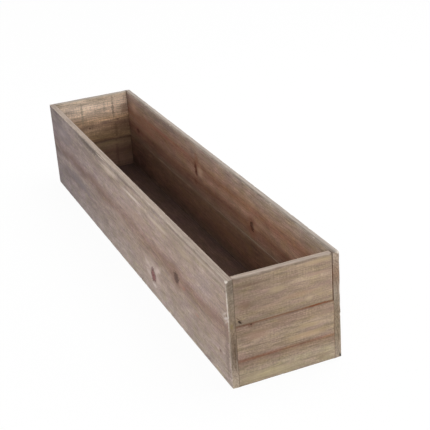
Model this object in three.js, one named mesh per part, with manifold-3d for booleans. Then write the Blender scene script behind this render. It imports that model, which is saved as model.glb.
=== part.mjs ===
// Window box planter: a long, narrow, open-topped box of thin rough-sawn softwood boards.
// Millimetres, +Z up. The origin is the middle of the underside. +X runs along the length to the near end,
// whose seam is high; -Y is the front side, a single board; +Y is the back side, joined from two boards.
//
// How it goes together: the two ends are set between the long sides, face flush with the sides' end grain,
// and the bottom lies inside all four walls, flush with their lower edges. Each end, and the back side,
// is two boards glued edge to edge. Gun brads pin the sides to the ends and to the bottom.

import * as THREE from 'three';
import { mergeVertices } from 'three/addons/utils/BufferGeometryUtils.js';
import Module from 'manifold-3d';

const wasm = await Module();
wasm.setup();

// ---------------------------------------------------------------- driving dimensions, mm

// The box, measured outside.
const boxLength = 780;
const boxWidth = 152;
const boxHeight = 150;

// The boards.
const sideThickness = 9;
const endThickness = 9;
const bottomThickness = 9;
const arrisRadius = 0.8; // round of the long edges, left by light sanding
const endEase = 0.5; // chamfer round the sawn ends

// Heights of the glued seams above the underside.
const backSeamHeight = 67;
const nearEndSeamHeight = 85;
const farEndSeamHeight = 65;

// Clearances.
const glueLine = 0.2; // between two boards glued edge to edge
const buttGap = 0.2; // where one board butts against another's face
const nearUpperShortfall = 1.2; // the upper near end board was cut this much short of the back side

// Gun brads: flat wire with a T head and a chisel point.
const bradLength = 25;
const bradWidth = 1.3;
const bradThickness = 1;
const bradHeadWidth = 2.2;
const bradHeadDepth = 0.9;
const bradPointLength = 2.4;
const bradPointWidth = 0.4;
const bradSink = 0.6; // head below the face of the board
const bradClearance = 0.25; // round the brad in its hole
const bradsPerStretch = 2; // in each seamless stretch of a corner
const bottomBradsPerSide = 6;

// ---------------------------------------------------------------- places worked out from them

const sideInnerFace = boxWidth / 2 - sideThickness; // |y| of a long side's inner face
const endInnerFace = boxLength / 2 - endThickness; // |x| of an end's inner face
const endMiddle = boxLength / 2 - endThickness / 2; // |x| of the middle of an end's thickness

// ---------------------------------------------------------------- finishes

const finishes = {
  front: wood(0x8f7c6f),
  back: wood(0x8a6b5a),
  nearEnd: wood(0x9d8466),
  farEnd: wood(0xa08a6c),
  bottom: wood(0x6a574c),
  brad: new THREE.MeshStandardMaterial({ color: 0x77746f, roughness: 0.45, metalness: 1 }),
};

function wood(color) {
  return new THREE.MeshStandardMaterial({ color, roughness: 0.85, metalness: 0 });
}

// ---------------------------------------------------------------- solids

// A geometry as a solid that can be joined and cut.
function solidOf(geometry) {
  const bare = geometry.clone();
  bare.deleteAttribute('normal');
  bare.deleteAttribute('uv');
  const merged = mergeVertices(bare, 1e-4);
  return new wasm.Manifold(
    new wasm.Mesh({
      numProp: 3,
      vertProperties: merged.attributes.position.array,
      triVerts: new Uint32Array(merged.index.array),
    }),
  );
}

// A solid back as a geometry with normals.
function geometryOf(solid) {
  const mesh = solid.getMesh();
  const geometry = new THREE.BufferGeometry();
  geometry.setAttribute('position', new THREE.BufferAttribute(mesh.vertProperties, 3));
  geometry.setIndex(new THREE.BufferAttribute(mesh.triVerts, 1));
  geometry.computeVertexNormals();
  return geometry;
}

// The section of a board: a rectangle with its four long edges rounded.
function boardSection(across, up) {
  const x = across / 2;
  const y = up / 2;
  const r = arrisRadius;
  const section = new THREE.Shape();
  section.moveTo(-x + r, -y);
  section.lineTo(x - r, -y);
  section.absarc(x - r, -y + r, r, -Math.PI / 2, 0);
  section.lineTo(x, y - r);
  section.absarc(x - r, y - r, r, 0, Math.PI / 2);
  section.lineTo(-x + r, y);
  section.absarc(-x + r, y - r, r, Math.PI / 2, Math.PI);
  section.lineTo(-x, -y + r);
  section.absarc(-x + r, -y + r, r, Math.PI, (3 * Math.PI) / 2);
  return section;
}

// A board about its own middle: its section run along +Z, both sawn ends eased.
function board(length, across, up) {
  const geometry = new THREE.ExtrudeGeometry(boardSection(across, up), {
    depth: length - 2 * endEase,
    curveSegments: 2,
    bevelThickness: endEase,
    bevelSize: endEase,
    bevelOffset: -endEase,
    bevelSegments: 1,
  });
  return geometry.translate(0, 0, -(length - 2 * endEase) / 2);
}

// A board that fills the box from one corner to the other, with its grain along X or Y.
function boardBetween(low, high, grain) {
  const size = new THREE.Vector3().subVectors(high, low);
  const geometry =
    grain === 'x'
      ? board(size.x, size.y, size.z).applyMatrix4(turnTo('x'))
      : board(size.y, size.x, size.z).applyMatrix4(turnTo('y'));
  return { geometry, centre: new THREE.Vector3().addVectors(low, high).multiplyScalar(0.5) };
}

// The turn that lays a board's length along X or Y with its section's height along Z.
function turnTo(grain) {
  const x = new THREE.Vector3(1, 0, 0);
  const y = new THREE.Vector3(0, 1, 0);
  const z = new THREE.Vector3(0, 0, 1);
  return grain === 'x'
    ? new THREE.Matrix4().makeBasis(y, z, x)
    : new THREE.Matrix4().makeBasis(x.negate(), z, y);
}

// ---------------------------------------------------------------- brads

// A brad's outline, driven along +Y from the face of a board at y = 0, with a margin all round.
// The outline of its hole has the clearance as its margin, and its mouth reaches out through the face.
function bradOutline(margin, mouth) {
  const head = bradHeadWidth / 2 + margin;
  const shank = bradWidth / 2 + margin;
  const tip = bradPointWidth / 2 + margin;
  const neckY = bradSink + bradHeadDepth + margin;
  const tipY = bradSink + bradLength + margin;
  const outline = new THREE.Shape();
  outline.moveTo(-head, mouth);
  outline.lineTo(head, mouth);
  outline.lineTo(head, neckY);
  outline.lineTo(shank, neckY);
  outline.lineTo(shank, tipY - bradPointLength);
  outline.lineTo(tip, tipY);
  outline.lineTo(-tip, tipY);
  outline.lineTo(-shank, tipY - bradPointLength);
  outline.lineTo(-shank, neckY);
  outline.lineTo(-head, neckY);
  return outline;
}

function bradShape(margin, mouth) {
  const depth = bradThickness + 2 * margin;
  return new THREE.ExtrudeGeometry(bradOutline(margin, mouth), { depth, bevelEnabled: false }).translate(
    0,
    0,
    -depth / 2,
  );
}

// One brad: its name, the point on the side's outer face where it enters, and the way it is driven.
function bradAt(name, x, facing, z) {
  return { name, entry: new THREE.Vector3(x, (facing * boxWidth) / 2, z), turn: facing > 0 ? Math.PI : 0 };
}

// Heights of the brads at a corner: evenly spaced in the stretch below all its seams and in that above.
function cornerBradHeights(seams) {
  const stretches = [
    [0, Math.min(...seams)],
    [Math.max(...seams), boxHeight],
  ];
  return stretches.flatMap(([low, high]) =>
    Array.from({ length: bradsPerStretch }, (_, i) => low + ((high - low) * (i + 0.5)) / bradsPerStretch),
  );
}

function cornerBrads() {
  const sides = [
    { side: 'front', facing: -1, seams: [] },
    { side: 'back', facing: 1, seams: [backSeamHeight] },
  ];
  const ends = [
    { end: 'near', x: endMiddle, seam: nearEndSeamHeight },
    { end: 'far', x: -endMiddle, seam: farEndSeamHeight },
  ];
  return sides.flatMap(({ side, facing, seams }) =>
    ends.flatMap(({ end, x, seam }) =>
      cornerBradHeights([...seams, seam]).map((z, i) => bradAt(`brad_${side}_${end}_${i + 1}`, x, facing, z)),
    ),
  );
}

function bottomBrads() {
  const pitch = (2 * endInnerFace) / bottomBradsPerSide;
  return [
    { side: 'front', facing: -1 },
    { side: 'back', facing: 1 },
  ].flatMap(({ side, facing }) =>
    Array.from({ length: bottomBradsPerSide }, (_, i) =>
      bradAt(`brad_${side}_bottom_${i + 1}`, -endInnerFace + pitch * (i + 0.5), facing, bottomThickness / 2),
    ),
  );
}

const brads = [...cornerBrads(), ...bottomBrads()];

// The holes of all the brads, as solids in the frame of the whole box.
const mouthBeyondFace = -1;
const bradHoles = brads.map(({ entry, turn }) =>
  solidOf(bradShape(bradClearance, mouthBeyondFace).rotateZ(turn).translate(entry.x, entry.y, entry.z)),
);

function bradMesh({ name, entry, turn }) {
  const mesh = new THREE.Mesh(bradShape(0, bradSink), finishes.brad);
  mesh.name = name;
  mesh.position.copy(entry);
  mesh.rotation.z = turn;
  return mesh;
}

// ---------------------------------------------------------------- boards

// A board's mesh, with the hole of each brad that passes through it cut out.
function boardMesh(name, finish, low, high, grain) {
  const { geometry, centre } = boardBetween(new THREE.Vector3(...low), new THREE.Vector3(...high), grain);
  let solid = solidOf(geometry);
  for (const hole of bradHoles) {
    solid = solid.subtract(hole.translate([-centre.x, -centre.y, -centre.z]));
  }
  const mesh = new THREE.Mesh(geometryOf(solid), finish);
  mesh.name = name;
  mesh.position.copy(centre);
  return mesh;
}

// Edge-jointed boards share a seam: each stops half a glue line from it.
const belowSeam = (height) => height - glueLine / 2;
const aboveSeam = (height) => height + glueLine / 2;

function longSides() {
  const group = new THREE.Group();
  const left = -boxLength / 2;
  const right = boxLength / 2;
  const outer = boxWidth / 2;
  group.add(
    boardMesh('front_side_board', finishes.front, [left, -outer, 0], [right, -sideInnerFace, boxHeight], 'x'),
    boardMesh(
      'back_side_board_lower',
      finishes.back,
      [left, sideInnerFace, 0],
      [right, outer, belowSeam(backSeamHeight)],
      'x',
    ),
    boardMesh(
      'back_side_board_upper',
      finishes.back,
      [left, sideInnerFace, aboveSeam(backSeamHeight)],
      [right, outer, boxHeight],
      'x',
    ),
  );
  return group;
}

// One end: a lower and an upper board between the sides, from its inner to its outer face.
function endPanel(end, finish, lowX, highX, seam, upperShortfall) {
  const group = new THREE.Group();
  const reach = sideInnerFace - buttGap;
  group.add(
    boardMesh(`${end}_end_board_lower`, finish, [lowX, -reach, 0], [highX, reach, belowSeam(seam)], 'y'),
    boardMesh(
      `${end}_end_board_upper`,
      finish,
      [lowX, -reach, aboveSeam(seam)],
      [highX, reach - upperShortfall, boxHeight],
      'y',
    ),
  );
  return group;
}

function bottom() {
  const x = endInnerFace - buttGap;
  const y = sideInnerFace - buttGap;
  return boardMesh('bottom_board', finishes.bottom, [-x, -y, 0], [x, y, bottomThickness], 'x');
}

// ---------------------------------------------------------------- the planter

const planter = new THREE.Group();
const fasteners = new THREE.Group();
fasteners.add(...brads.map(bradMesh));
planter.add(
  longSides(),
  endPanel('near', finishes.nearEnd, endInnerFace, boxLength / 2, nearEndSeamHeight, nearUpperShortfall),
  endPanel('far', finishes.farEnd, -boxLength / 2, -endInnerFace, farEndSeamHeight, 0),
  bottom(),
  fasteners,
);

export default planter;
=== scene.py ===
# %% [markdown]
# # A window box planter in rough-sawn fir
#
# The object is a long open box of thin fir boards, stained brown and worn pale along its edges.
# Everything that can be seen is sawn wood, so the lesson has two halves: how to give a plain board
# the form of a worn one, and how to draw its grain, knots and stain with nodes alone.
#
# The solid model of the planter is loaded first. It fixes where each board and each brad lies.

# %% Load the frame
import math

import bmesh
import bpy
from mathutils import Matrix, Vector, noise


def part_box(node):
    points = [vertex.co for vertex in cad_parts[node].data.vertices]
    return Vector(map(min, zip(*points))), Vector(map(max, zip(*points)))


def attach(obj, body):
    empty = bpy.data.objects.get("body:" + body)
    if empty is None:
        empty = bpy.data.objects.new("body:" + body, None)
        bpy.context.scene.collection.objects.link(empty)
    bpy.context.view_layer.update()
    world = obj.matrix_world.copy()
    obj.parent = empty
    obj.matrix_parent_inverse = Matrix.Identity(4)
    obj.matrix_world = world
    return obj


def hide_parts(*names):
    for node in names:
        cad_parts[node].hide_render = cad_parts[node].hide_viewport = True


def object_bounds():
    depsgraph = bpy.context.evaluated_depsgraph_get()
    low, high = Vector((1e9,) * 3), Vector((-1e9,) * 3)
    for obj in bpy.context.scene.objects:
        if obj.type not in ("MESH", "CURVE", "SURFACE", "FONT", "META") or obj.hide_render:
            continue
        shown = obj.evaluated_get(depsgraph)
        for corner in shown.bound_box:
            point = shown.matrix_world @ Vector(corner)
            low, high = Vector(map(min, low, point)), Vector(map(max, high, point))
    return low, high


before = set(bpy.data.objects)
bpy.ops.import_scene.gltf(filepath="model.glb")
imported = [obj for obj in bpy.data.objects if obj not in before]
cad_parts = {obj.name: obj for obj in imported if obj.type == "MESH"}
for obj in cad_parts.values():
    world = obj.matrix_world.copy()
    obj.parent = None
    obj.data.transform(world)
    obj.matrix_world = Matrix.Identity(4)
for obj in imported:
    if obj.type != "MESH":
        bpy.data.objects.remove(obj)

MM = 0.001
BODY = "root"
cad_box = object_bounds()
print("nodes:", len(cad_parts), "box:", [tuple(corner) for corner in cad_box])

# %% [markdown]
# ## Measures
#
# Each size comes from the frame, so the looks follow the solids. All the modelling below is done in
# millimetres, and a mesh is scaled to metres at the very end.

# %% Measures from the frame, in millimetres
def box_mm(node):
    """The lowest and the highest corner of a board or brad."""
    return [Vector(corner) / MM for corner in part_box(node)]


LENGTH, WIDTH, HEIGHT = (Vector(cad_box[1]) - Vector(cad_box[0])) / MM
BOARDS = sorted(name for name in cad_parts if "board" in name)
BRADS = sorted(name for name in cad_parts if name.startswith("brad"))
BOARD_BOXES = {name: box_mm(name) for name in BOARDS}
SIDE = BOARD_BOXES["front_side_board"][1].y + WIDTH / 2
FLOOR_TOP = BOARD_BOXES["bottom_board"][1].z
print("box", round(LENGTH), round(WIDTH), round(HEIGHT), "side", round(SIDE, 1), "floor", round(FLOOR_TOP, 1))

# %% [markdown]
# ## The camera
#
# The camera looks down on one end of the box from about a quarter of the way up. Its angles and its
# distance were solved from the corners of the box. They are given as an orbit round the middle of
# the box: the camera is turned and lifted, then slid sideways a little, then rolled.

# %% Camera
AZIMUTH = math.radians(68.3375)
ELEVATION = math.radians(24.3152)
ROLL = math.radians(-4.3291)
DISTANCE = 1.61153
SLIDE_RIGHT = 0.06723
SLIDE_UP = -0.01414
LENS = 87.777


def add_camera():
    flat = math.cos(ELEVATION)
    back = Vector((math.sin(AZIMUTH) * flat, -math.cos(AZIMUTH) * flat, math.sin(ELEVATION)))
    right = Vector((0, 0, 1)).cross(back).normalized()
    up = back.cross(right)
    data = bpy.data.cameras.new("camera")
    data.lens = LENS
    data.clip_start = 0.05
    camera = bpy.data.objects.new("camera", data)
    middle = (Vector(cad_box[0]) + Vector(cad_box[1])) / 2
    camera.location = middle + back * DISTANCE + right * SLIDE_RIGHT + up * SLIDE_UP
    rolled_right = right * math.cos(ROLL) + up * math.sin(ROLL)
    rolled_up = up * math.cos(ROLL) - right * math.sin(ROLL)
    camera.rotation_euler = Matrix((rolled_right, rolled_up, back)).transposed().to_euler()
    bpy.context.scene.collection.objects.link(camera)
    bpy.context.scene.camera = camera
    return camera


camera = add_camera()
print("camera at", [round(value, 3) for value in camera.location])

# %% [markdown]
# ## Nodes and colours
#
# Every material below is a small network of nodes, and one function adds a node. It takes the kind
# of node, what goes into its inputs in order, and its settings. An input takes a number, a vector, a
# colour or the output of another node. Colours are written as the hex values that a screen shows,
# and a second function turns them into the linear values that Blender mixes.

# %% Helpers for nodes
def add(tree, kind, *inputs, sockets=None, stops=None, **settings):
    """Adds one node with its settings, inputs, named sockets and ramp stops. Gives its first output."""
    node = tree.nodes.new("ShaderNode" + kind)
    for name, value in settings.items():
        setattr(node, name, value)
    filled = list(zip([socket for socket in node.inputs if socket.enabled], inputs))
    filled += [(node.inputs[name], value) for name, value in (sockets or {}).items()]
    for socket, value in filled:
        if isinstance(value, bpy.types.NodeSocket):
            tree.links.new(value, socket)
        elif value is not None:
            socket.default_value = value
    for index, (position, colour) in enumerate(stops or []):
        elements = node.color_ramp.elements
        stop = elements[index] if index < 2 else elements.new(position)
        stop.position, stop.color = position, colour
    return next((output for output in node.outputs if output.enabled), node)


def linear(hex_colour, alpha=1.0):
    """A screen colour such as "8f7c6f" as linear red, green, blue and alpha."""
    channels = [int(hex_colour[i : i + 2], 16) / 255 for i in (0, 2, 4)]
    return [c / 12.92 if c <= 0.04045 else ((c + 0.055) / 1.055) ** 2.4 for c in channels] + [alpha]


WHITE = linear("ffffff")
print("mid grey as a linear value:", round(linear("808080")[0], 3))

# %% [markdown]
# ## Light and floor
#
# A studio for pale goods is a white tent: its walls are bright all round and its ceiling is dimmer,
# so an open box keeps a dark inside. The world is the tent, with a strength that falls from the
# horizon to the top, and one large lamp lights the inner walls that face the camera. The floor takes
# the shadow. To the camera it also glows, so that it ends in white without more light on the wood.

# %% World, lamp and floor
WALL_STRENGTH = 1.75
CEILING_STRENGTH = 0.28
TENT_FADE = (0.1, 0.9)           # sine of the height over the horizon, where the fade starts and ends
FLOOR_GLOW = 0.95
LAMP_PLACE = (0.1, 0.7, 1.9)     # metres, over the back side
LAMP_TARGET = (0, 0, 0.1)
LAMP_SIZE, LAMP_WATTS = 1.4, 20


def add_tent():
    world = bpy.data.worlds.new("white tent")
    world.use_nodes = True
    tree = world.node_tree
    tree.nodes.clear()
    direction = add(tree, "TexCoord").node.outputs["Generated"]
    rise = add(tree, "SeparateXYZ", direction).node.outputs["Z"]
    strength = add(tree, "MapRange", rise, *TENT_FADE, WALL_STRENGTH, CEILING_STRENGTH)
    soft = add(tree, "Background", WHITE, strength)
    white = add(tree, "Background", WHITE, 1.0)
    add(tree, "OutputWorld", add(tree, "MixShader", add(tree, "LightPath"), soft, white))
    bpy.context.scene.world = world


def add_lamp(name, place, target, size, watts):
    data = bpy.data.lights.new(name, "AREA")
    data.shape = "DISK"
    data.size = size
    data.energy = watts
    lamp = bpy.data.objects.new(name, data)
    lamp.location = place
    lamp.rotation_euler = (Vector(place) - Vector(target)).to_track_quat("Z", "Y").to_euler()
    bpy.context.scene.collection.objects.link(lamp)


def add_floor():
    made = bmesh.new()
    bmesh.ops.create_grid(made, x_segments=1, y_segments=1, size=12)
    mesh = bpy.data.meshes.new("floor")
    made.to_mesh(mesh)
    made.free()
    material = bpy.data.materials.new("matt white paper")
    material.use_nodes = True
    tree = material.node_tree
    tree.nodes.clear()
    paper = add(tree, "BsdfDiffuse", linear("fafafa"))
    glow = add(tree, "Emission", WHITE, 1.0)
    seen = add(tree, "Math", add(tree, "LightPath"), FLOOR_GLOW, operation="MULTIPLY")
    add(tree, "OutputMaterial", add(tree, "MixShader", seen, paper, glow))
    mesh.materials.append(material)
    floor = bpy.data.objects.new("floor", mesh)
    bpy.context.scene.collection.objects.link(floor)


add_tent()
add_lamp("softbox", LAMP_PLACE, LAMP_TARGET, LAMP_SIZE, LAMP_WATTS)
add_floor()
bpy.context.scene.view_settings.view_transform = "Standard"
print("tent from", WALL_STRENGTH, "at the walls to", CEILING_STRENGTH, "overhead")

# %% [markdown]
# ## The blank of a board
#
# A sawn board is a block with slightly eased arrises. It could be a cube with a Bevel modifier, but
# the wear below has to move single points, so the mesh gets them now: a cube is beveled with bmesh,
# cut across at graded places near its arrises, and then divided evenly along its length.

# %% Cutting a blank
ARRIS = 0.35                           # width of the eased arris
EDGE_STEPS = (0.9, 1.7, 3.0, 5.0, 8.0) # rows of points at these distances from each arris
FACE_STEP = 6.0                        # about the distance of the rows on the rest of a face


def row_places(low, high):
    """Where a board is cut across one direction: close rows at both ends, even rows between."""
    graded = [d for d in EDGE_STEPS if 2 * d < high - low]
    start, end = low + graded[-1], high - graded[-1]
    count = max(1, round((end - start) / FACE_STEP))
    even = [start + (end - start) * k / count for k in range(count + 1)]
    return sorted({*(low + d for d in graded), *(high - d for d in graded), *even})


def cut(made, faces, axis, place):
    """Cuts faces of a mesh by a plane square to one axis. Gives the faces that this leaves."""
    parts = {part for face in faces for part in (face, *face.verts, *face.edges)}
    square = Vector([float(axis == k) for k in range(3)])
    left = bmesh.ops.bisect_plane(made, geom=list(parts), dist=1e-5, plane_co=square * place, plane_no=square)
    return [part for part in left["geom"] if isinstance(part, bmesh.types.BMFace)]


def blank(node, along, step):
    """A beveled and finely divided board, the size of its solid, in millimetres."""
    low, high = BOARD_BOXES[node]
    made = bmesh.new()
    bmesh.ops.create_cube(made, size=1)
    bmesh.ops.scale(made, vec=high - low, verts=made.verts)
    bmesh.ops.translate(made, vec=(low + high) / 2, verts=made.verts)
    bmesh.ops.bevel(
        made, geom=made.edges[:], offset=ARRIS, offset_type="OFFSET", segments=2, profile=0.5,
        affect="EDGES", material=-1,
    )
    for axis in range(3):
        ends = [low[axis] + d for d in EDGE_STEPS] + [high[axis] - d for d in EDGE_STEPS]
        for place in ends if axis == along else row_places(low[axis], high[axis]):
            cut(made, made.faces, axis, place)
    middle = high[along] - low[along] - 2 * EDGE_STEPS[-1]
    long_edges = [edge for edge in made.edges if edge.calc_length() > 0.9 * middle]
    bmesh.ops.subdivide_edges(made, edges=long_edges, cuts=round(middle / step) - 1, use_grid_fill=True)
    return made


trial = blank("near_end_board_lower", 1, 2.0)
print("a blank end board has", len(trial.verts), "points")
trial.free()

# %% [markdown]
# ## Nail pits
#
# The brads were driven a little below the surface, so each lies at the bottom of a small pit. The
# face is cut round the brad's head, and the small face that this leaves is inset and sunk. That is
# one operator, and it leaves the sloped sides that a nail punch makes.

# %% Nail pits
PIT_ROOM = 0.35          # space round the brad's head
PIT_DEPTH = 0.75
PIT_SLOPE = 0.25
LOCAL = 8.0              # faces this near to a mark are cut for it


def brads_of(node):
    """The middle and the size of each brad whose head lies in this board's outer face."""
    low, high = BOARD_BOXES[node]
    boxes = [box_mm(brad) for brad in BRADS]
    heads = [(a, b, a.y if abs(a.y) > abs(b.y) else b.y) for a, b in boxes]
    return [
        ((a + b) / 2, b - a) for a, b, y in heads
        if low.y < y < high.y and low.z < (a.z + b.z) / 2 < high.z
    ]


def faces_near(made, point, axis, reach):
    """The faces square to one axis whose middles lie near a point."""
    return [
        face for face in made.faces
        if abs(face.normal[axis]) > 0.9 and (face.calc_center_median() - point).length < reach
    ]


def sink_brads(made, node, painted_shade):
    """Sinks a pit over each brad, and marks the pit's floor for painted shade."""
    outer = math.copysign(WIDTH / 2, BOARD_BOXES[node][0].y)
    brads = brads_of(node)
    for middle, size in brads:
        head = Vector((middle.x, outer, middle.z))
        near = faces_near(made, head, 1, LOCAL)
        for axis in (0, 2):
            for side in (-1, 1):
                near = cut(made, near, axis, head[axis] + side * (size[axis] / 2 + PIT_ROOM))
        over = [
            face for face in near
            if all(abs(face.calc_center_median()[k] - head[k]) < size[k] / 2 + PIT_ROOM for k in (0, 2))
        ]
        lid = bmesh.ops.dissolve_faces(made, faces=over)["region"] if len(over) > 1 else over
        bmesh.ops.inset_individual(made, faces=lid, thickness=PIT_SLOPE, depth=-PIT_DEPTH)
        # Painted shade: the floor of each pit is marked to be darkened.
        for point in lid[0].verts:
            point[painted_shade] = 1.0
    return len(brads)


print("brads under the front board's face:", len(brads_of("front_side_board")))

# %% [markdown]
# ## Wear
#
# A planter is knocked and scraped along its arrises, and its faces are never quite flat. Both are
# made by moving each point a little into the board: noise along an arris decides how much is worn
# away there, and a second, smaller noise takes out chips where it is strongest. Points only move
# inwards, so the board never grows out of its solid. Three attributes go with the points: "worn" is
# high where the wood is rubbed pale, "joint" along the line where two boards meet, and a third where
# shade is painted dark, in the inside corners and later in the nail pits and gouges. A joint fills
# unevenly, so its line comes and goes.

# %% Wear along the arrises
WEAR_REACH = 3.0         # how far from an arris the wear reaches
WEAR_DEPTH = 0.35
CHIP_DEPTH = 1.6
CHIP_FROM = 0.32         # noise above this value is a chip
FACE_HOLLOW = 0.16       # how far a face may lie below flat
JOINT_REACH = 0.9        # half width of the line along a joint
CORNER_SHADE = 0.2               # how strongly painted shade darkens an inside corner
CORNER_SHADE_REACH = 6.0         # distance over which that fades
INSIDE_SLACK = 0.5       # a point this far into a wall still counts as inside the planter
FACE_SPREAD, WEAR_SPREAD, CHIP_SPREAD, JOINT_SPREAD = 70.0, 24.0, 6.5, 17.0   # sizes of the noises
STREAK_SPREAD = 9.0


def smooth(value):
    """0 below 0, 1 above 1, and a smooth step between."""
    value = min(1.0, max(0.0, value))
    return value * value * (3 - 2 * value)


def gap_between(point, box):
    """How far a point lies from a box."""
    return math.sqrt(sum(max(low - p, 0.0, p - high) ** 2 for p, low, high in zip(point, *box)))


def is_inside(point):
    """Whether a point lies on the inside of the planter."""
    inside_walls = (
        abs(point.x) < LENGTH / 2 - SIDE + INSIDE_SLACK and abs(point.y) < WIDTH / 2 - SIDE + INSIDE_SLACK
    )
    return inside_walls and point.z > FLOOR_TOP - INSIDE_SLACK


def wear(made, node, seed, worn, painted_shade, joint):
    """Wears a board down along its arrises, hollows its faces and marks its points."""
    low, high = BOARD_BOXES[node]
    others = [box for name, box in BOARD_BOXES.items() if name != node]
    shift = Vector((seed * 71.3, seed * 37.7, seed * 13.1))
    for point in made.verts:
        place = point.co.copy()
        depths = sorted((min(place[k] - low[k], high[k] - place[k]), k) for k in range(3))
        inward = [Vector([float(k == axis) for k in range(3)]) for _, axis in depths]
        for (_, axis), direction in zip(depths, inward):
            if place[axis] > (low[axis] + high[axis]) / 2:
                direction.negate()
        (first, _), (second, _), (third, _) = depths
        arris = 1 - smooth(second / WEAR_REACH)
        corner = arris * (1 - smooth(third / (2 * WEAR_REACH)))
        gap = min(gap_between(place, box) for box in others)
        covered = 1 - smooth(gap / (2 * WEAR_REACH))
        exposed = arris * (1 - covered)
        waver = 0.5 + 0.5 * noise.noise((place + shift) / WEAR_SPREAD)
        chip = max(0.0, noise.noise((place - shift) / CHIP_SPREAD) - CHIP_FROM)
        rounding = WEAR_DEPTH * waver
        loss = exposed * (rounding + CHIP_DEPTH * chip) + (1 - covered) * corner * rounding
        hollow = FACE_HOLLOW * (0.5 + 0.5 * noise.noise((place + shift) / FACE_SPREAD)) * smooth(second / 20)
        point.co = place + (inward[0] + inward[1]).normalized() * loss + inward[0] * hollow
        streak = 0.5 + 0.5 * noise.noise((place + shift * 2) / STREAK_SPREAD)
        point[worn] = exposed * smooth(1.7 * waver) * smooth(1.6 * streak) + min(1.0, 4 * chip) * exposed
        uneven = smooth(0.75 + 1.3 * noise.noise((place + shift) / JOINT_SPREAD))
        # Painted shade: inside the planter, points near another board are darkened, most in the corners.
        point[painted_shade] = CORNER_SHADE * math.exp(-gap / CORNER_SHADE_REACH) if is_inside(place) else 0.0
        point[joint] = uneven * (1 - smooth((gap - 0.3) / JOINT_REACH))


print("wear reaches", WEAR_REACH, "mm from an arris")

# %% [markdown]
# ## Gouges
#
# The near end has a slanting gouge close to its seam, and a small pit beside it. The mesh is cut
# finely round each place and the points are pressed in, deepest at the middle.

# %% Gouges
GOUGE_STEP = 0.7         # distance of the points round a gouge


def gouge(made, middle, axis, half_length, half_width, depth, slant, painted_shade):
    """Presses a slanting hollow into the face that is square to one axis."""
    across, up = (1, 2) if axis == 0 else (0, 2)
    near = faces_near(made, middle, axis, half_length + LOCAL)
    count = math.ceil(half_length / GOUGE_STEP)
    for direction in (across, up):
        for k in range(-count, count + 1):
            near = cut(made, near, direction, middle[direction] + k * GOUGE_STEP)
    inward = Vector([float(k == axis) for k in range(3)]) * -math.copysign(1, middle[axis])
    turn = math.radians(slant)
    for point in {point for face in near for point in face.verts}:
        off = point.co - middle
        along = off[across] * math.cos(turn) + off[up] * math.sin(turn)
        beside = off[up] * math.cos(turn) - off[across] * math.sin(turn)
        share = 1 - math.hypot(along / half_length, beside / half_width)
        if share > 0:
            point.co += inward * depth * smooth(1.6 * share)
            # Painted shade: the hollow is darkened, most towards its middle.
            point[painted_shade] = max(point[painted_shade], smooth(2 * share))


print("gouges are cut every", GOUGE_STEP, "mm")

# %% [markdown]
# ## The grain of a sawn board
#
# A board is a flat slice of a tree, so its grain is a set of thin layers that run the length of the
# board. On a wide face they show as bands, each at its own height. Two patterns are laid together.
# A colour ramp over the height holds the broad bands that the stain has made. The growth rings are
# circles round the tree's heart, which lies off the board, so they also curve across the end grain.
# Noise makes both waver, and a knot pushes them aside.
#
# The network works in board coordinates, in millimetres: X along the grain, Y through the
# thickness, Z up the face. Each noise has the real size of what it stands for.

# %% Board coordinates and noises
NOISES = {
    # name: size along, through and up the board in millimetres, and levels of detail
    "waver": ((170, 34, 34), 3.0),       # slow bends of the layers
    "cloud": ((85, 30, 24), 4.0),        # uneven stain
    "blotch": ((30, 14, 9), 4.0),        # small patches that took more or less of it
    "tone": ((24, 12, 7), 4.0),          # changes of hue, from pink to yellow
    "streak": ((95, 5, 4.2), 4.0),       # stain drawn along the grain
    "fibre": ((24, 1.1, 1.0), 5.0),      # bundles of fibres, about four times as coarse as real ones
    "saw": ((1.8, 30, 26), 3.0),         # traces of the saw, which cut across the grain
    "grit": ((2.4, 2.4, 2.4), 4.0),      # fine mottling, which also breaks the edges of marks
}
FLOWING = ("streak", "fibre")            # these follow the layers round a knot


def board_place(tree, grain):
    """Object coordinates in millimetres, turned so that X runs along the grain."""
    place = add(tree, "TexCoord").node.outputs["Object"]
    turn = 0.0 if grain == "x" else -math.pi / 2
    return add(tree, "Mapping", place, None, (0, 0, turn), (1 / MM, 1 / MM, 1 / MM))


def to_board(point, grain):
    """A point of the planter in board coordinates."""
    x, y, z = point
    return Vector((x, y, z)) if grain == "x" else Vector((y, -x, z))


def noise_fields(tree, place, seed, names):
    """Some noises of the table, each from 0 to 1 with most of it near 0.5."""
    fields = {}
    for number, name in enumerate(names):
        size, detail = NOISES[name]
        shift = [91.7 * seed + 13.1 * number, 5.3 * seed, 7.9 * seed]
        scaled = add(tree, "VectorMath", place, [1 / s for s in size], shift, operation="MULTIPLY_ADD")
        fields[name] = add(tree, "TexNoise", scaled, 1.0, detail, 0.55)
    return fields


print("noises:", ", ".join(NOISES))

# %% [markdown]
# The layers of a board are found by their height. The height wavers, and near a knot it is drawn
# towards the knot's own height, which makes every layer swing out round it.

# %% Height of a layer
WAVER = 13.0             # how far a layer strays up and down, in millimetres
KNOT_PULL = 0.8          # share by which a knot draws the layers
KNOT_FIELD = 3.6         # how far that reaches, in knot radii
KNOT_CORE = 0.7          # nearer than this, in radii, the pull is full


def knot_distance(tree, place, knot):
    """Distance from a knot's middle, in knot radii. A knot runs straight through the board."""
    (along, up), radius, stretch = knot[:3]
    size = Vector((1 / (radius * stretch), 0, 1 / radius))
    offset = Vector((-along * size.x, 0, -up * size.z))
    local = add(tree, "VectorMath", place, size, offset, operation="MULTIPLY_ADD")
    return add(tree, "VectorMath", local, operation="LENGTH").node.outputs["Value"]


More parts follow.
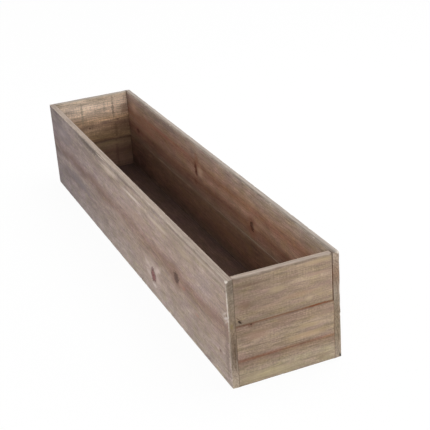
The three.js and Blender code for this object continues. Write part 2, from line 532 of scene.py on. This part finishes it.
def layer_height(tree, place, fields, knots, waver):
    """The height that tells which layer a point is in."""
    height = add(tree, "SeparateXYZ", place).node.outputs["Z"]
    stray = add(tree, "Math", fields["waver"], -0.5, operation="ADD")
    height = add(tree, "Math", stray, waver, height, operation="MULTIPLY_ADD")
    for knot in knots:
        pull = add(tree, "MapRange", knot_distance(tree, place, knot), KNOT_CORE, KNOT_FIELD,
                   KNOT_PULL, 0.0, interpolation_type="SMOOTHERSTEP")
        rise = add(tree, "Math", knot[0][1], height, operation="SUBTRACT")
        height = add(tree, "Math", rise, pull, height, operation="MULTIPLY_ADD")
    return height


print("layers stray by", WAVER, "mm")

# %% [markdown]
# Growth rings darken slowly towards the late wood of each year and then end sharply. A sawtooth of
# the distance from the heart gives that, and a random strength for each year keeps them uneven.

# %% Growth rings
RING_LOOSE = 1.5         # how far noise shifts a ring, in ring widths


def growth_rings(tree, place, height, fields, heart, spacing):
    """Late wood, from 0 to 1. The heart is given through and up the board."""
    through = add(tree, "SeparateXYZ", place).node.outputs["Y"]
    point = add(tree, "CombineXYZ", 0.0, through, height)
    centre = (0, heart[0], heart[1])
    distance = add(tree, "VectorMath", point, centre, operation="DISTANCE").node.outputs["Value"]
    loose = add(tree, "Math", fields["cloud"], RING_LOOSE * spacing, distance, operation="MULTIPLY_ADD")
    years = add(tree, "Math", loose, spacing, operation="DIVIDE")
    part = add(tree, "Math", years, operation="FRACT")
    year = add(tree, "Math", years, operation="FLOOR")
    late = add(tree, "ValToRGB", part, stops=[
        (0.0, (0, 0, 0, 1)), (0.5, (0.08, 0.08, 0.08, 1)), (0.86, (0.9, 0.9, 0.9, 1)), (0.94, (1, 1, 1, 1)),
        (1.0, (0, 0, 0, 1)),
    ])
    strength = add(tree, "TexWhiteNoise", year, noise_dimensions="1D")
    return add(tree, "Math", late, strength, operation="MULTIPLY")


print("a ring shifts by up to", RING_LOOSE, "ring widths")

# %% [markdown]
# ## Marks
#
# A knot is a branch cut through. Its colours run outwards from its heart: dark pith, red-brown
# wood, a darker ring of bark, then a halo of resin-soaked wood that breaks up into flecks. One ramp
# holds the colours, and the ramp's alpha fades them out. A patch is any other local colour, such as
# a scuff, a damp stain or a crack: an ellipsoid with a broken edge.

# %% Knots and patches
KNOT_RAMP = 3.4          # a knot's ramp ends at this many radii
KNOT_RAGGED = 0.55       # how much a noise stretches the distance from a knot
PATCH_RAGGED = 1.4       # how much a noise adds to the distance from a patch
PATCH_FADE = (0.2, 1.15) # a patch fades between these shares of its half size


def lay_knot(tree, colour, place, fields, knot):
    """Lays one knot over the colour."""
    heart, bark, halo = knot[3]
    distance = knot_distance(tree, place, knot)
    ragged = add(tree, "MapRange", fields["grit"], 0.2, 0.8, 1 - KNOT_RAGGED, 1 + KNOT_RAGGED)
    share = add(tree, "Math", add(tree, "Math", distance, ragged, operation="MULTIPLY"), KNOT_RAMP,
                operation="DIVIDE")
    ring = add(tree, "ValToRGB", share, stops=[
        (0.0, linear(bark, 0.9)), (0.07, linear(heart, 0.9)), (0.2, linear(heart, 0.85)),
        (0.28, linear(bark, 0.85)), (0.38, linear(halo, 0.75)), (0.6, linear(halo, 0.4)),
        (1.0, linear(halo, 0.0)),
    ])
    return add(tree, "Mix", ring.node.outputs["Alpha"], colour, ring, data_type="RGBA")


def patch_cover(tree, place, fields, patch, grain):
    """How much of a patch covers a point: its strength in the middle, 0 outside."""
    centre, (along, through, up), _, strength, slant = patch
    moved = add(tree, "VectorMath", place, to_board(centre, grain), operation="SUBTRACT")
    turned = add(tree, "VectorRotate", moved, (0, 0, 0), math.radians(slant), rotation_type="Y_AXIS")
    local = add(tree, "VectorMath", turned, (1 / along, 1 / through, 1 / up), operation="MULTIPLY")
    distance = add(tree, "VectorMath", local, operation="LENGTH").node.outputs["Value"]
    broken = add(tree, "Math", fields["streak"], fields["grit"], operation="ADD")
    rough = add(tree, "Math", broken, PATCH_RAGGED, -PATCH_RAGGED, operation="MULTIPLY_ADD")
    loose = add(tree, "Math", distance, rough, operation="ADD")
    return add(tree, "MapRange", loose, *PATCH_FADE, strength, 0.0, interpolation_type="SMOOTHSTEP")


print("a knot's colours end at", KNOT_RAMP, "radii")

# %% [markdown]
# ## The finish of the wood
#
# The boards are softwood with a thin brown stain, which gives three things to the eye. The wide
# bands differ in hue, because early and late wood take up stain differently. The surface is dull,
# because nothing closes the pores. And the end grain, which drinks the most stain, is mottled. Over
# that lie pale rubbed rims and dark joints, and shade is painted dark into the inside corners, the
# nail pits and the gouges. Boards that are seen from inside kept more stain there, so their outer
# faces get weathered bands of their own.

# %% Stained wood
BARE = "cbbfb0"          # rubbed wood
# the dark brown of the shade painted into inside corners, nail pits and gouges
SHADE_COLOUR = "2e1e15"
LATE = "ab8670"          # what late wood multiplies the colour by, in strong layers
ROUGHNESS = (0.68, 0.92)
RELIEF = 0.16            # height of the sawn surface's relief, in millimetres
RIM_BAND = 0.9           # a rim's colour reaches this far down
SKIN = 2.0               # the weathered outside reaches this far in
END_BAND = (0.9, 0.3)    # the end grain's colour starts this deep, and is full this deep
END_GRIT, END_BLOTCH, END_RINGS = 0.26, 0.12, 0.5   # how much these show on the end grain
RIM_STREAK, RIM_FIBRE = 0.2, 0.24
SAW_SHADE = 0.1          # how much the saw's traces shade, where a board has no value of its own
# how much of that painted shade colour a fully marked point gets
SHADE_COVER = 0.8
GLOSS = 0.25             # sawn wood with open pores reflects less than a closed surface
PLAIN, PINK, YELLOW = (1, 1, 1, 1), (1.03, 0.97, 1.06, 1), (1.0, 1.02, 0.88, 1)
TEXTURE = dict(cloud=0.12, blotch=0.12, streak=0.16, fibre=0.2, grit=0.1)   # how much each noise shades


def shaded(tree, colour, field, share):
    """The colour made lighter and darker by a noise, by about this share."""
    shade = add(tree, "MapRange", field, 0.3, 0.7, 1 - share, 1 + share)
    return add(tree, "Mix", 1.0, colour, shade, data_type="RGBA", blend_type="MULTIPLY")


def end_grain(tree, colour, look, split, share, fields, rings):
    """Lays the end grain's colour over the parts that face along the board."""
    out = add(tree, "Math", split["X"], operation="ABSOLUTE")
    at_end = add(tree, "MapRange", out, *(LENGTH / 2 - deep for deep in END_BAND), 0.0, 1.0)
    face = add(tree, "ValToRGB", share, stops=[(z / HEIGHT, linear(c)) for z, c in look["end"]])
    face = shaded(tree, shaded(tree, face, fields["grit"], END_GRIT), fields["blotch"], END_BLOTCH)
    lines = add(tree, "Math", rings, END_RINGS, operation="MULTIPLY")
    face = add(tree, "Mix", lines, face, linear(LATE), data_type="RGBA", blend_type="MULTIPLY")
    return add(tree, "Mix", at_end, colour, face, data_type="RGBA")


def rim(tree, colour, look, split, fields):
    """Lays the rim's colour over the top of a board, in lines that run along it."""
    on_rim = add(tree, "MapRange", split["Z"], HEIGHT - RIM_BAND, HEIGHT - 0.3, 0.0, 1.0)
    out = add(tree, "Math", split["Y"], operation="ABSOLUTE")
    outer = (WIDTH if look["grain"] == "x" else LENGTH) / 2
    across = add(tree, "MapRange", out, outer - SIDE, outer, 0.0, 1.0)
    top = add(tree, "ValToRGB", across, stops=[(s, linear(c)) for s, c in look["rim"]])
    top = shaded(tree, shaded(tree, top, fields["streak"], RIM_STREAK), fields["fibre"], RIM_FIBRE)
    return add(tree, "Mix", on_rim, colour, top, data_type="RGBA")


def outer_face(tree, colour, look, split, height):
    """Lays the weathered bands over the outer face of a board whose inside kept more of its stain."""
    half = (WIDTH if look["grain"] == "x" else LENGTH) / 2
    out = add(tree, "Math", split["Y"], operation="ABSOLUTE")
    outer = add(tree, "MapRange", out, half - SKIN, half - SKIN / 2, 0.0, 1.0)
    grey = add(tree, "ValToRGB", add(tree, "Math", height, HEIGHT, operation="DIVIDE"),
               stops=[(z / HEIGHT, linear(c)) for z, c in look["outside"]])
    return add(tree, "Mix", outer, colour, grey, data_type="RGBA")


def stained_wood(name, look):
    """One board's material: bands, rings, fibres, knots, patches, rims, end grain, wear, joints and painted
    shade.
    """
    material = bpy.data.materials.new(name)
    material.use_nodes = True
    tree = material.node_tree
    tree.nodes.clear()
    grain = look["grain"]
    knots = look.get("knots", [])
    texture = {**TEXTURE, **look.get("texture", {})}
    place = board_place(tree, grain)
    split = add(tree, "SeparateXYZ", place).node.outputs
    fields = noise_fields(tree, place, look["seed"], [name for name in NOISES if name not in FLOWING])
    height = layer_height(tree, place, fields, knots, look.get("waver", WAVER))
    flow = add(tree, "CombineXYZ", split["X"], split["Y"], height)
    fields |= noise_fields(tree, flow, look["seed"], FLOWING)
    rings = growth_rings(tree, place, height, fields, look["heart"], look["ring"])

    colour = add(tree, "ValToRGB", add(tree, "Math", height, HEIGHT, operation="DIVIDE"),
                 stops=[(z / HEIGHT, linear(c)) for z, c in look["bands"]])
    if "outside" in look:
        colour = outer_face(tree, colour, look, split, height)
    # The run tints a board from one end to the other. On the front board it is partly the stain and partly
    # painted light, brighter towards the near end where more light falls.
    reach = (LENGTH if grain == "x" else WIDTH) / 2
    run = add(tree, "MapRange", split["X"], -reach, reach, 0.0, 1.0)
    tint = add(tree, "ValToRGB", run, stops=[(s, linear(c)) for s, c in look["run"]])
    colour = add(tree, "Mix", 1.0, colour, tint, data_type="RGBA", blend_type="MULTIPLY")

    cloud = add(tree, "MapRange", fields["cloud"], 0.45, 0.75, 0.0, look.get("uneven", 0.5))
    colour = add(tree, "Mix", cloud, colour, linear(look["weather"]), data_type="RGBA")
    tone = add(tree, "ValToRGB", fields["tone"], stops=[(0.3, PINK), (0.7, YELLOW), (0.5, PLAIN)])
    colour = add(tree, "Mix", look.get("tone", 1.0), colour, tone, data_type="RGBA", blend_type="MULTIPLY")
    late = add(tree, "Math", rings, look.get("late", 0.4), operation="MULTIPLY")
    colour = add(tree, "Mix", late, colour, linear(LATE), data_type="RGBA", blend_type="MULTIPLY")
    for field, share in texture.items():
        colour = shaded(tree, colour, fields[field], share)
    sawn = add(tree, "MapRange", fields["cloud"], 0.4, 0.6, 0.0, 1.0)
    saw = look.get("saw", SAW_SHADE)
    scored = add(tree, "MapRange", fields["saw"], 0.3, 0.7, 1 - saw, 1 + saw)
    colour = add(tree, "Mix", sawn, colour, scored, data_type="RGBA", blend_type="MULTIPLY")

    for knot in knots:
        colour = lay_knot(tree, colour, place, fields, knot)
    level = add(tree, "Math", split["Z"], HEIGHT, operation="DIVIDE")
    if "end" in look:
        colour = end_grain(tree, colour, look, split, level, fields, rings)
    if "rim" in look:
        colour = rim(tree, colour, look, split, fields)
    for patch in look.get("patches", []):
        cover = patch_cover(tree, place, fields, patch, grain)
        colour = add(tree, "Mix", cover, colour, linear(patch[2]), data_type="RGBA")

    worn = add(tree, "Attribute", attribute_name="worn").node.outputs["Fac"]
    rubbed = add(tree, "Math", worn, look.get("rubbed", 0.3), operation="MULTIPLY")
    colour = add(tree, "Mix", rubbed, colour, linear(BARE), data_type="RGBA")
    filling, strength = look["joint"]
    line = add(tree, "Attribute", attribute_name="joint").node.outputs["Fac"]
    line = add(tree, "Math", line, strength, operation="MULTIPLY")
    colour = add(tree, "Mix", line, colour, linear(filling), data_type="RGBA")
    # Painted shade: inside corners, nail pits and gouges are darkened towards a dark brown.
    painted_shade = add(tree, "Attribute", attribute_name="painted_shade").node.outputs["Fac"]
    dark = add(tree, "Math", painted_shade, SHADE_COVER, operation="MULTIPLY")
    colour = add(tree, "Mix", dark, colour, linear(SHADE_COLOUR), data_type="RGBA")

    roughness = add(tree, "MapRange", fields["streak"], 0.25, 0.75, *ROUGHNESS)
    relief = add(tree, "Math", fields["fibre"], fields["saw"], operation="ADD")
    relief = add(tree, "Math", rings, 0.5, relief, operation="MULTIPLY_ADD")
    bump = add(tree, "Bump", sockets={"Strength": 1.0, "Distance": RELIEF * MM, "Height": relief})
    shader = add(tree, "BsdfPrincipled", sockets={
        "Base Color": colour, "Roughness": roughness, "Normal": bump, "Specular IOR Level": GLOSS,
    })
    add(tree, "OutputMaterial", shader)
    return material


print("relief of the sawn surface:", RELIEF, "mm")

# %% [markdown]
# ## How each board looks
#
# The values below were written board by board, with colours measured in the photograph
# at hand, and many of them follow those measurements. A band has its height and its colour. The
# overall level of each board was matched to the average in the photograph. The run is a plain tint
# from one end of the board to the other. A knot has its place along and up the board, its radius,
# how much longer than high it is, and its three colours. A patch has its place in the planter, its
# half sizes along, through and up the board, its colour, strength and slant.

# %% Front side board
LOOKS = {}
LOOKS["front_side_board"] = dict(
    material="brown stained fir, front board", slot="front_board_fir", grain="x", step=3.0, seed=1,
    heart=(-20.0, 52.0), ring=3.3, weather="8b7f7c", uneven=0.6, late=0.13, joint=("7c6c5c", 0.3),
    texture=dict(cloud=0.18, blotch=0.14, streak=0.05, fibre=0.26, grit=0.16),
    bands=[
        (0, "b8aaa0"), (24, "a8988e"), (60, "a29084"), (72, "927c6e"), (84, "92786c"), (100, "a69288"),
        (121, "a49286"), (124, "9a887c"), (132, "a89688"), (137, "9c8c80"), (143, "a29284"), (150, "86766c"),
    ],
    # The run is partly the stain and partly painted light: the near end is lit more strongly than the far
    # end.
    run=[(0.0, "b2b2be"), (0.6, "f8f6f4")],
    end=[(0, "b4a490"), (20, "9c8c7c"), (45, "6e5e50"), (80, "7e6c5a"), (125, "827464"), (150, "6c6054")],
    rim=[(0.0, "948478"), (0.6, "a09084"), (1.0, "98887c")],
    knots=[
        ((118, 34.5), 9.5, 0.95, ("7d4a4c", "4c302b", "b3a098")),
        ((216, 75), 7.2, 1.2, ("523a31", "3c2722", "8a7062")),
        ((358, 38), 1.5, 1.4, ("6a4f45", "4a352e", "8a7468")),
    ],
    patches=[
        ((-250, -76, 84), (130, 3, 15), "6f5954", 0.42, 0),
        ((-100, -76, 90), (90, 3, 8), "7f695f", 0.5, 0),
        ((-250, -76, 50), (100, 3, 10), "70666a", 0.55, 0),
        ((-320, -76, 120), (70, 3, 20), "766c70", 0.4, 0),
        ((-215, -76, 65), (110, 3, 3.5), "9a8a84", 0.3, 0),
        ((-155, -76, 146), (70, 3, 9), "54463f", 0.85, 0),
        ((-180, -76, 128), (40, 3, 6), "7a6a64", 0.5, 0),
        ((70, -76, 106), (70, 3, 9), "9a8274", 0.5, 0),
        ((20, -76, 125), (30, 3, 12), "a3948f", 0.4, 0),
        ((-20, -76, 70), (50, 3, 7), "a8968a", 0.4, 0),
        ((-255, -76, 136), (26, 3, 9), "7d6c67", 0.5, 0),
        ((-90, -76, 147), (24, 3, 1.5), "cbbbab", 0.8, 0),
        ((-55, -76, 137), (48, 3, 8), "c2b0a1", 0.7, 0),
        ((52, -76, 133), (48, 3, 3), "cabcb0", 0.75, 0),
        ((300, -76, 143), (110, 3, 2.5), "b9a99c", 0.5, 0),
        ((20, -76, 145), (62, 3, 2.6), "6f6057", 0.7, 0),
        ((160, -76, 129), (44, 3, 5), "c0ae9e", 0.6, 0),
        ((250, -76, 126), (50, 3, 5), "b8a78f", 0.4, 0),
        ((40, -76, 116), (40, 3, 4), "8c7b74", 0.5, 0),
        ((330, -76, 80), (60, 3, 10), "846a5c", 0.35, 0),
        ((325, -76, 112), (40, 3, 12), "8e7d78", 0.45, 0),
        ((242, -76, 71), (9, 3, 4), "a0705e", 0.5, 20),
        ((285, -76, 52), (8, 3, 3), "ab7c6c", 0.5, 0),
        ((98, -76, 31), (13, 3, 6), "c4b4ac", 0.5, 0),
        ((119, -76, 19), (10, 3, 4), "d0c5be", 0.7, 0),
        ((138, -76, 50), (20, 3, 6), "c3b0a8", 0.8, 30),
        ((95, -76, 47), (18, 3, 6), "bfada3", 0.7, -20),
        ((137, -76, 33), (14, 3, 7), "b8a39a", 0.7, 0),
        ((198, -76, 76), (18, 3, 6), "7c6156", 0.6, 0),
        ((231, -76, 71), (14, 3, 4), "a5837a", 0.5, 10),
        ((380, -76, 95), (9, 4, 9), "c2b4a6", 0.45, 40),
        ((380, -76, 50), (8, 3, 52), "75635a", 0.55, 0),
        ((389.5, -76, 112), (1.4, 1.2, 34), "d6ccc2", 0.8, 0),
        ((389, -76, 148), (3, 3, 2), "e4dcd2", 0.9, 0),
        ((382, -76, 103), (8, 4, 1.4), "c9beb5", 0.4, 35),
        ((384, -76, 97), (9, 4, 1.6), "d4cbc4", 0.5, 30),
        ((383, -76, 91), (8, 4, 1.3), "c9bfb8", 0.4, 40),
        ((390, -74.6, 42), (3, 1.0, 34), "554533", 0.8, 0),
        ((390, -70.2, 48), (3, 1.0, 30), "5c4a36", 0.8, 0),
        ((390, -68.5, 90), (3, 0.8, 14), "6a5845", 0.6, 0),
        ((390, -72, 88), (3, 3, 6), "8c7a52", 0.5, 0),
    ],
)
print("boards so far:", len(LOOKS))

# %% Back side boards
OUTSIDE_LONG = [
    (0, "b4a498"), (30, "a8968c"), (60, "9a887c"), (80, "907a6e"), (104, "a6948a"), (150, "948478"),
]
LOOKS["back_side_board_lower"] = dict(
    material="brown stained fir, lower back board", slot="back_board_fir", grain="x", step=3.0, seed=2,
    heart=(25.0, 30.0), ring=3.6, weather="775c4c", uneven=0.4, late=0.25,
    texture=dict(streak=0.1, fibre=0.3, grit=0.16), joint=("a08672", 0.3), outside=OUTSIDE_LONG,
    bands=[(0, "806d60"), (14, "7e6658"), (30, "8a6a58"), (54, "92745e"), (62, "967862"), (67, "ac947e")],
    run=[(0.15, "dcd4d2"), (0.6, "fcf8f4")],
    end=[(8, "9c8e7e"), (30, "8a7a66"), (67, "847460")],
    patches=[
        ((-333, 67, 28), (50, 3, 36), "4d3434", 0.5, 35),
        ((-305, 67, 8), (30, 3, 7), "4a302a", 0.6, 0),
        ((-345, 67, 24), (7, 3, 10), "8a6a60", 0.5, 20),
        ((60, 67, 40), (60, 3, 8), "946c50", 0.4, 0),
        ((390, 74.4, 2.8), (4, 3.2, 3.2), "120c08", 1.0, 0),
    ],
)
LOOKS["back_side_board_upper"] = dict(
    material="brown stained fir, upper back board", slot="back_board_fir", grain="x", step=3.0, seed=3,
    heart=(28.0, 100.0), ring=3.4, weather="9c7a68", uneven=0.4, late=0.25,
    texture=dict(streak=0.1, fibre=0.3, grit=0.16), joint=("a08672", 0.2), outside=OUTSIDE_LONG,
    bands=[
        (67, "a88c76"), (78, "a07c68"), (88, "9a7058"), (103, "bc9880"), (116, "aa7d64"), (128, "b69680"),
        (141, "ae9888"), (150, "b4a294"),
    ],
    run=[(0.25, "d8d4d4"), (0.7, "ffffff")],
    end=[(67, "82725f"), (96, "948676"), (120, "8a725e"), (150, "a49484")],
    rim=[(0.15, "6c5c50"), (0.5, "a49a90"), (1.0, "988c84")],
    knots=[
        ((153, 90), 6.6, 0.85, ("4a2216", "35170e", "a5745c")),
        ((-333, 88), 3.6, 1.6, ("6b4334", "4a2c22", "8e6253")),
    ],
    patches=[
        ((-53, 67, 107), (8, 3, 16), "5e2a17", 0.95, 12),
        ((-48, 67, 127), (9, 3, 13), "94654c", 0.6, 10),
        ((-58, 67, 85), (11, 3, 6), "6e4433", 0.7, 0),
        ((-37, 67, 108), (15, 3, 11), "cfac92", 0.7, 0),
        ((144, 67, 84), (15, 3, 6), "8c5f49", 0.6, 20),
        ((166, 67, 92), (14, 3, 5), "c6a186", 0.6, 0),
        ((-290, 67, 105), (60, 3, 16), "a87a63", 0.4, 0),
        ((-275, 67, 104), (90, 3, 7), "96604f", 0.4, 0),
        ((-200, 67, 122), (140, 3, 4), "a0624f", 0.5, 0),
        # Painted highlight: a pale line along the seam, where the lower board's top arris catches the light.
        ((185, 67, 67.8), (130, 3, 1.6), "c9b49c", 0.7, 0),
        ((-345, 67, 128), (22, 3, 12), "c49f86", 0.6, 0),
        ((389, 75, 149), (4, 2.5, 2), "e2dad0", 0.9, 0),
        ((390, 75.5, 98), (4, 1.2, 9), "d8d0c6", 0.8, 0),
        ((390, 69, 120), (3, 1.2, 20), "7c6350", 0.6, 0),
        ((-160, 67, 80), (120, 3, 7), "805948", 0.4, 0),
    ],
)
print("boards so far:", len(LOOKS))

# %% Near end boards
LOOKS["near_end_board_lower"] = dict(
    material="brown stained fir, lower near end board", slot="near_end_fir", grain="y", step=1.8, seed=4,
    heart=(-40.0, 60.0), ring=2.1, weather="94806f", uneven=0.25, waver=4.0, late=0.2,
    joint=("8a6a52", 0.5), texture=dict(cloud=0.06, blotch=0.06, streak=0.05, fibre=0.3, grit=0.18),
    bands=[
        # Painted shade: the first stop darkens the lowest 1.5 mm, along the floor.
        (0, "7f705e"), (1.5, "a89a84"), (18, "a99c86"), (28, "94806e"), (33, "907a68"), (35.5, "866450"),
        (39, "988474"), (50, "9e8c7a"), (52, "92806f"), (56, "a08e7c"), (67, "9f8c7a"), (70, "96826f"),
        (82, "968270"), (85, "785c4c"),
    ],
    run=[(0.0, "e4e0dc"), (0.8, "fcfaf6")],
    patches=[
        ((390, -25, 9), (45, 3, 7), "b8a886", 0.4, 0),
        ((390, 48, 10), (18, 3, 8), "917c68", 0.5, 0),
        ((390, 30, 47), (32, 3, 4.5), "b89c78", 0.5, 0),
        ((390, 35, 59), (28, 3, 4), "b29a78", 0.4, 0),
        ((390, -40, 66), (20, 3, 7), "9c7c6b", 0.5, 0),
        ((390, -5, 78), (13, 3, 6), "8c7362", 0.5, 10),
        ((390, 55, 72), (7, 3, 12), "98826f", 0.5, 80),
        ((390, -52, 60), (12, 3, 3), "7a6456", 0.5, 0),
        ((390, -40, 36), (28, 3, 2.5), "7d5643", 0.6, 0),
        ((390, -47, 83.5), (6, 3, 4), "6a4433", 0.6, 0),
        ((390, -56, 84.8), (14, 3, 1.2), "6a4736", 0.7, 0),
        ((390, 45, 84.8), (26, 3, 1.0), "7c3f20", 0.85, 0),
        ((390, -10, 84.8), (44, 3, 0.8), "86604a", 0.6, 0),
    ],
)
LOOKS["near_end_board_upper"] = dict(
    material="brown stained fir, upper near end board", slot="near_end_fir", grain="y", step=1.8, seed=5,
    heart=(-44.0, 112.0), ring=2.0, weather="998573", uneven=0.25, waver=4.0, late=0.2,
    joint=("8a7460", 0.3), texture=dict(cloud=0.06, blotch=0.06, streak=0.05, fibre=0.3, grit=0.18),
    bands=[
        (85, "876852"), (87, "988672"), (98, "aa9680"), (112, "9c8876"), (124, "ac9884"), (131, "978470"),
        (135, "9b8874"), (139, "95826e"), (146, "aa9782"), (150, "746456"),
    ],
    run=[(0.0, "c8c4c4"), (0.75, "f8f6f4")],
    rim=[(0.0, "907f70"), (0.7, "ac9c90"), (1.0, "806c5c")],
    patches=[
        ((390, -54, 111), (10, 3, 9), "7f6352", 0.5, 0),
        ((390, -45, 137), (24, 3, 2.6), "6f5848", 0.6, 0),
        ((390, 3, 131), (14, 3, 9), "7f6a59", 0.45, 0),
        ((390, 42, 144), (22, 3, 4), "b8a07c", 0.5, 0),
        ((390, 45, 128), (18, 3, 3), "ab8c7d", 0.5, 0),
        ((390, 33, 97), (6, 3, 4), "c0ae8c", 0.4, 0),
        ((390, -8, 122), (13, 3, 6), "b4a080", 0.4, 0),
        ((390, 20, 106), (26, 3, 4), "a8886f", 0.4, 0),
        ((390, -20, 102), (18, 3, 3), "a58a76", 0.4, 0),
        ((390, 45, 85.5), (26, 3, 1.1), "7c3f20", 0.85, 0),
        ((390, -10, 85.5), (44, 3, 0.9), "86604a", 0.6, 0),
        ((390, -63, 95), (7, 3, 1.2), "5c4334", 0.7, -45),
    ],
)
print("boards so far:", len(LOOKS))

# %% Far end boards
OUTSIDE_END = [
    (0, "a89a84"), (32, "8e7868"), (50, "a4907e"), (82, "8c7462"), (104, "a8947e"), (150, "a4927c"),
]
LOOKS["far_end_board_lower"] = dict(
    material="brown stained fir, lower far end board", slot="far_end_fir", grain="y", step=1.8, seed=6,
    heart=(30.0, 20.0), ring=2.6, weather="80664f", uneven=0.4, waver=5.0, late=0.25,
    joint=("6c4f3a", 0.25), outside=OUTSIDE_END,
    bands=[(0, "806b5f"), (20, "9b8072"), (45, "927864"), (60, "a59073"), (65, "806654")],
    run=[(0.0, "ffffff"), (1.0, "e8dcd4")],
    patches=[((-381, 38, 35), (30, 3, 4), "6c4e40", 0.6, 90)],
)
LOOKS["far_end_board_upper"] = dict(
    material="brown stained fir, upper far end board", slot="far_end_fir", grain="y", step=1.8, seed=7,
    heart=(34.0, 120.0), ring=2.4, weather="c0a890", uneven=0.35, waver=5.0, saw=0.2, late=0.15,
    tone=0.2, texture=dict(cloud=0.2, blotch=0.2, fibre=0.34, grit=0.2), joint=("8c705a", 0.2),
    outside=OUTSIDE_END,
    bands=[
        (65, "997c65"), (72, "b29a7a"), (96, "a48a77"), (106, "dcc0a2"), (120, "eedccb"), (134, "f4e6d8"),
        (150, "d8caba"),
    ],
    run=[(0.0, "f4ece4"), (1.0, "ece0d4")],
    rim=[(0.5, "a09488"), (1.0, "7c7066")],
    patches=[
        # Painted shade: the first patch darkens the lower part beside the inside corner with the back wall.
        ((-381, 50, 86), (26, 3, 20), "7a5c48", 0.45, 0),
        ((-381, -21, 126), (26, 3, 3), "a0907c", 0.65, 90),
        ((-381, 38, 125), (30, 3, 3), "8c7969", 0.7, 90),
        ((-381, 22, 128), (16, 3, 3), "a89683", 0.5, 90),
        ((-381, 40, 85), (22, 3, 3.5), "745c45", 0.6, 90),
        ((-381, 22, 100), (13, 3, 4), "876e62", 0.6, 0),
        ((-381, -8, 98), (12, 3, 3), "8c7560", 0.5, 0),
        ((-381, 60, 118), (9, 3, 16), "a07d69", 0.5, 0),
        ((-381, -10, 93), (2.5, 3, 2), "5a4337", 0.8, 0),
        ((-381, 45, 101), (3, 3, 2), "4a352a", 0.8, 0),
        ((-381, 5, 147), (30, 3, 0.8), "8c7b67", 0.6, 0),
        ((-381, 15, 138), (26, 3, 0.7), "96846f", 0.6, 0),
    ],
)
print("boards so far:", len(LOOKS))

# %% Bottom board
LOOKS["bottom_board"] = dict(
    material="brown stained fir, bottom board", slot="bottom_board_fir", grain="x", step=4.0, seed=8,
    heart=(-50.0, 0.0), ring=3.6, weather="5a443c", uneven=0.5, joint=("3a2a22", 0.6),
    texture=dict(fibre=0.3, grit=0.2),
    bands=[(0, "796252"), (9, "6d564c"), (150, "6d564c")],
    run=[(0.05, "ccc6ca"), (0.55, "f8f2f0")],
)
print("boards described:", sorted(LOOKS) == BOARDS)

# %% [markdown]
# ## Making the boards
#
# Each board is cut from its blank, gets its nail pits, wear and gouges, and stands in for its solid.

# %% Make the boards
GOUGES = {
    "near_end_board_upper": [
        (Vector((LENGTH / 2, -61, 90.2)), 0, 3.9, 1.5, 1.8, -50),
    ],
    "near_end_board_lower": [
        (Vector((LENGTH / 2, -46.5, 83.2)), 0, 1.5, 1.2, 1.2, 0),
    ],
}


def make_board(node, look):
    made = blank(node, 0 if look["grain"] == "x" else 1, look["step"])
    worn = made.verts.layers.float.new("worn")
    painted_shade = made.verts.layers.float.new("painted_shade")
    joint = made.verts.layers.float.new("joint")
    wear(made, node, look["seed"], worn, painted_shade, joint)
    pits = sink_brads(made, node, painted_shade)
    for values in GOUGES.get(node, []):
        gouge(made, *values, painted_shade)
    bmesh.ops.scale(made, vec=(MM, MM, MM), verts=made.verts)
    mesh = bpy.data.meshes.new("worn_" + node)
    made.to_mesh(mesh)
    made.free()
    mesh.shade_smooth()
    mesh.set_sharp_from_angle(angle=math.radians(40))
    mesh.materials.append(stained_wood(look["material"], look))
    board = bpy.data.objects.new("worn_" + node, mesh)
    bpy.context.scene.collection.objects.link(board)
    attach(board, BODY)
    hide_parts(node)
    print(board.name, len(mesh.polygons), "faces,", pits, "nail pits")


for node, look in LOOKS.items():
    make_board(node, look)

# %% [markdown]
# ## Brads
#
# The brads are thin steel nails. Their solids already have the right shape, so they keep their
# meshes and only get a finish: dull grey steel that has been stained along with the wood.

# %% Brad steel
def brad_steel():
    material = bpy.data.materials.new("dull steel wire, stained over")
    material.use_nodes = True
    tree = material.node_tree
    tree.nodes.clear()
    place = board_place(tree, "x")
    mottle = add(tree, "TexNoise", place, 1.4, 3.0, 0.5)
    colour = add(tree, "Mix", mottle, linear("5a524c"), linear("4a3426"), data_type="RGBA")
    roughness = add(tree, "MapRange", mottle, 0.3, 0.7, 0.45, 0.7)
    bump = add(tree, "Bump", sockets={"Distance": 0.04 * MM, "Height": mottle})
    shader = add(tree, "BsdfPrincipled", sockets={
        "Base Color": colour, "Metallic": 0.8, "Roughness": roughness, "Normal": bump,
    })
    add(tree, "OutputMaterial", shader)
    return material


steel = brad_steel()
for brad in BRADS:
    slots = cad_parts[brad].data.materials
    slots.clear()
    slots.append(steel)
print(len(BRADS), "brads finished")
